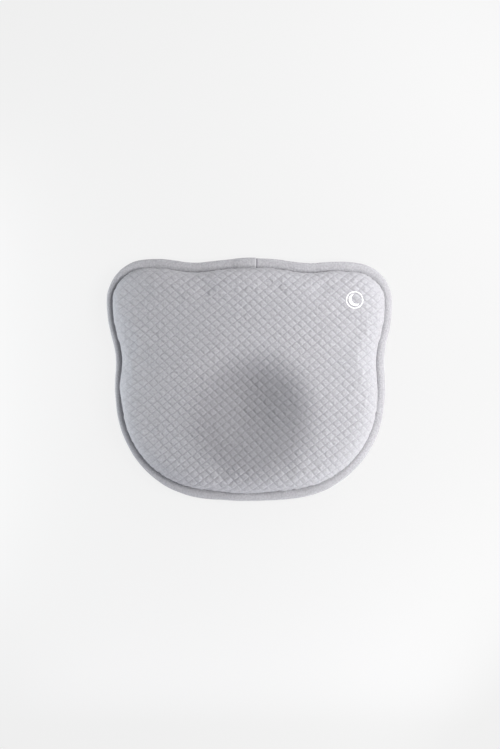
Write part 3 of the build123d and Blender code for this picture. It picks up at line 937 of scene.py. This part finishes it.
# piece, material, the record's slot, the CAD node it stands for, and how full it is if it's padded
PIECES = (
    (face, quilted_knit(), "quilted_knit", "cover_face", 0.9),
    (strip, fine_knit(), "binding_knit", "edge_binding", 0.8),
    (binding_stitches(strip), THREAD, "thread", "binding_thread", None),
    (emblem_film(face), white_film(), "emblem_film", "emblem", None),
    (back_panel("back_upper", 1), BACK, "back_knit", "back_panel_upper", 0.8),
    (back_panel("back_lower", -1), BACK, "back_knit", "back_panel_lower", 0.8),
    (topstitch(), THREAD, "thread", "zip_topstitch", None),
    (bar_tacks(), THREAD, "thread", "zip_bar_tacks", None),
    (coil_upper, NYLON, "zip_nylon", "zip_coil_upper", None),
    (coil_lower, NYLON, "zip_nylon", "zip_coil_lower", None),
)
for piece, material, slot, stands_for, fill in PIECES:
    piece.data.materials.append(material)
    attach(piece, "pillow")
    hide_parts(stands_for)

refinish(woven_tape(), "zip_tape_upper", "zip_tape_lower")
refinish(lacquered_metal(), "zip_top_stops", "zip_bottom_stop", "zip_slider", "zip_pull")
refinish(open_cell_foam(), "foam_core")
refinish(jersey(), "liner_top", "liner_base")
refinish(satin_ribbon(), "care_label")

# ---- studio -------------------------------------------------------------------------------------
WALL_SEEN, WALL_LIGHT = 0.85, 0.094
CAMERA_HEIGHT = 1.6
VIEW_HEIGHT = 0.6820       # the picture's long side, in the plane of the seam
VIEW_CENTRE = (0.0006, 0.0042)
FLOOR_REACH, FLOOR_GAP = 60.0, 0.0002


def make_camera():
    data = bpy.data.cameras.new("camera")
    camera = bpy.data.objects.new("camera", data)
    bpy.context.collection.objects.link(camera)
    data.sensor_width = 36
    data.lens = data.sensor_width * CAMERA_HEIGHT / VIEW_HEIGHT
    camera.location = (*VIEW_CENTRE, SEAM_Z + CAMERA_HEIGHT)
    bpy.context.scene.camera = camera


def make_floor():
    made = new_material("backdrop", Base_Color=(0.05, 0.05, 0.05, 1), Roughness=1.0,
                        Specular_IOR_Level=0.0, Emission_Color=(1, 1, 1, 1), Emission_Strength=0.835)[0]
    far = FLOOR_REACH
    corners = [(-far, -far, 0), (far, -far, 0), (far, far, 0), (-far, far, 0)]
    floor = mesh_object("backdrop", corners, [(0, 1, 2, 3)])
    floor.location.z = -FLOOR_GAP
    floor.data.materials.append(made)


# name, centre, size, watts, colour
LIGHTS = (
    ("high_right", (0.40, 0.0, 0.55), (0.40, 0.30), 3.9, (1.0, 0.995, 0.98)),
    ("back_right", (0.30, 0.30, 0.24), (0.40, 0.20), 1.75, (0.99, 0.98, 1.0)),
    ("front_right", (0.23, -0.23, 0.12), (0.30, 0.12), 0.50, (1.0, 1.0, 1.0)),
    ("low_left", (-0.30, 0.0, 0.07), (0.40, 0.06), 0.72, (0.93, 0.97, 1.0)),
    ("low_front", (0.0, -0.30, 0.07), (0.40, 0.06), 0.26, (0.9, 0.9, 1.0)),
)


def make_lights():
    for name, centre, size, watts, colour in LIGHTS:
        data = bpy.data.lights.new(name, "AREA")
        data.shape = "RECTANGLE"
        data.size, data.size_y = size
        data.energy = watts
        data.color = colour
        light = bpy.data.objects.new(name, data)
        bpy.context.collection.objects.link(light)
        light.location = centre
        light.rotation_euler = (-Vector(centre)).to_track_quat("-Z", "Y").to_euler()


make_camera()
make_floor()
make_lights()
bpy.context.scene.view_settings.view_transform = "Standard"
world = bpy.data.worlds.new("studio")
world.use_nodes = True
background = world.node_tree.nodes["Background"]
background.inputs["Color"].default_value = (1, 1, 1, 1)
# the wall behind looks as pale as the floor, and gives the pillow only a little light
seen = node(world.node_tree, "ShaderNodeLightPath").outputs["Is Camera Ray"]
brightness = maths(world.node_tree, "MULTIPLY_ADD", seen, WALL_SEEN - WALL_LIGHT, WALL_LIGHT)
world.node_tree.links.new(brightness, background.inputs["Strength"])
bpy.context.scene.world = world
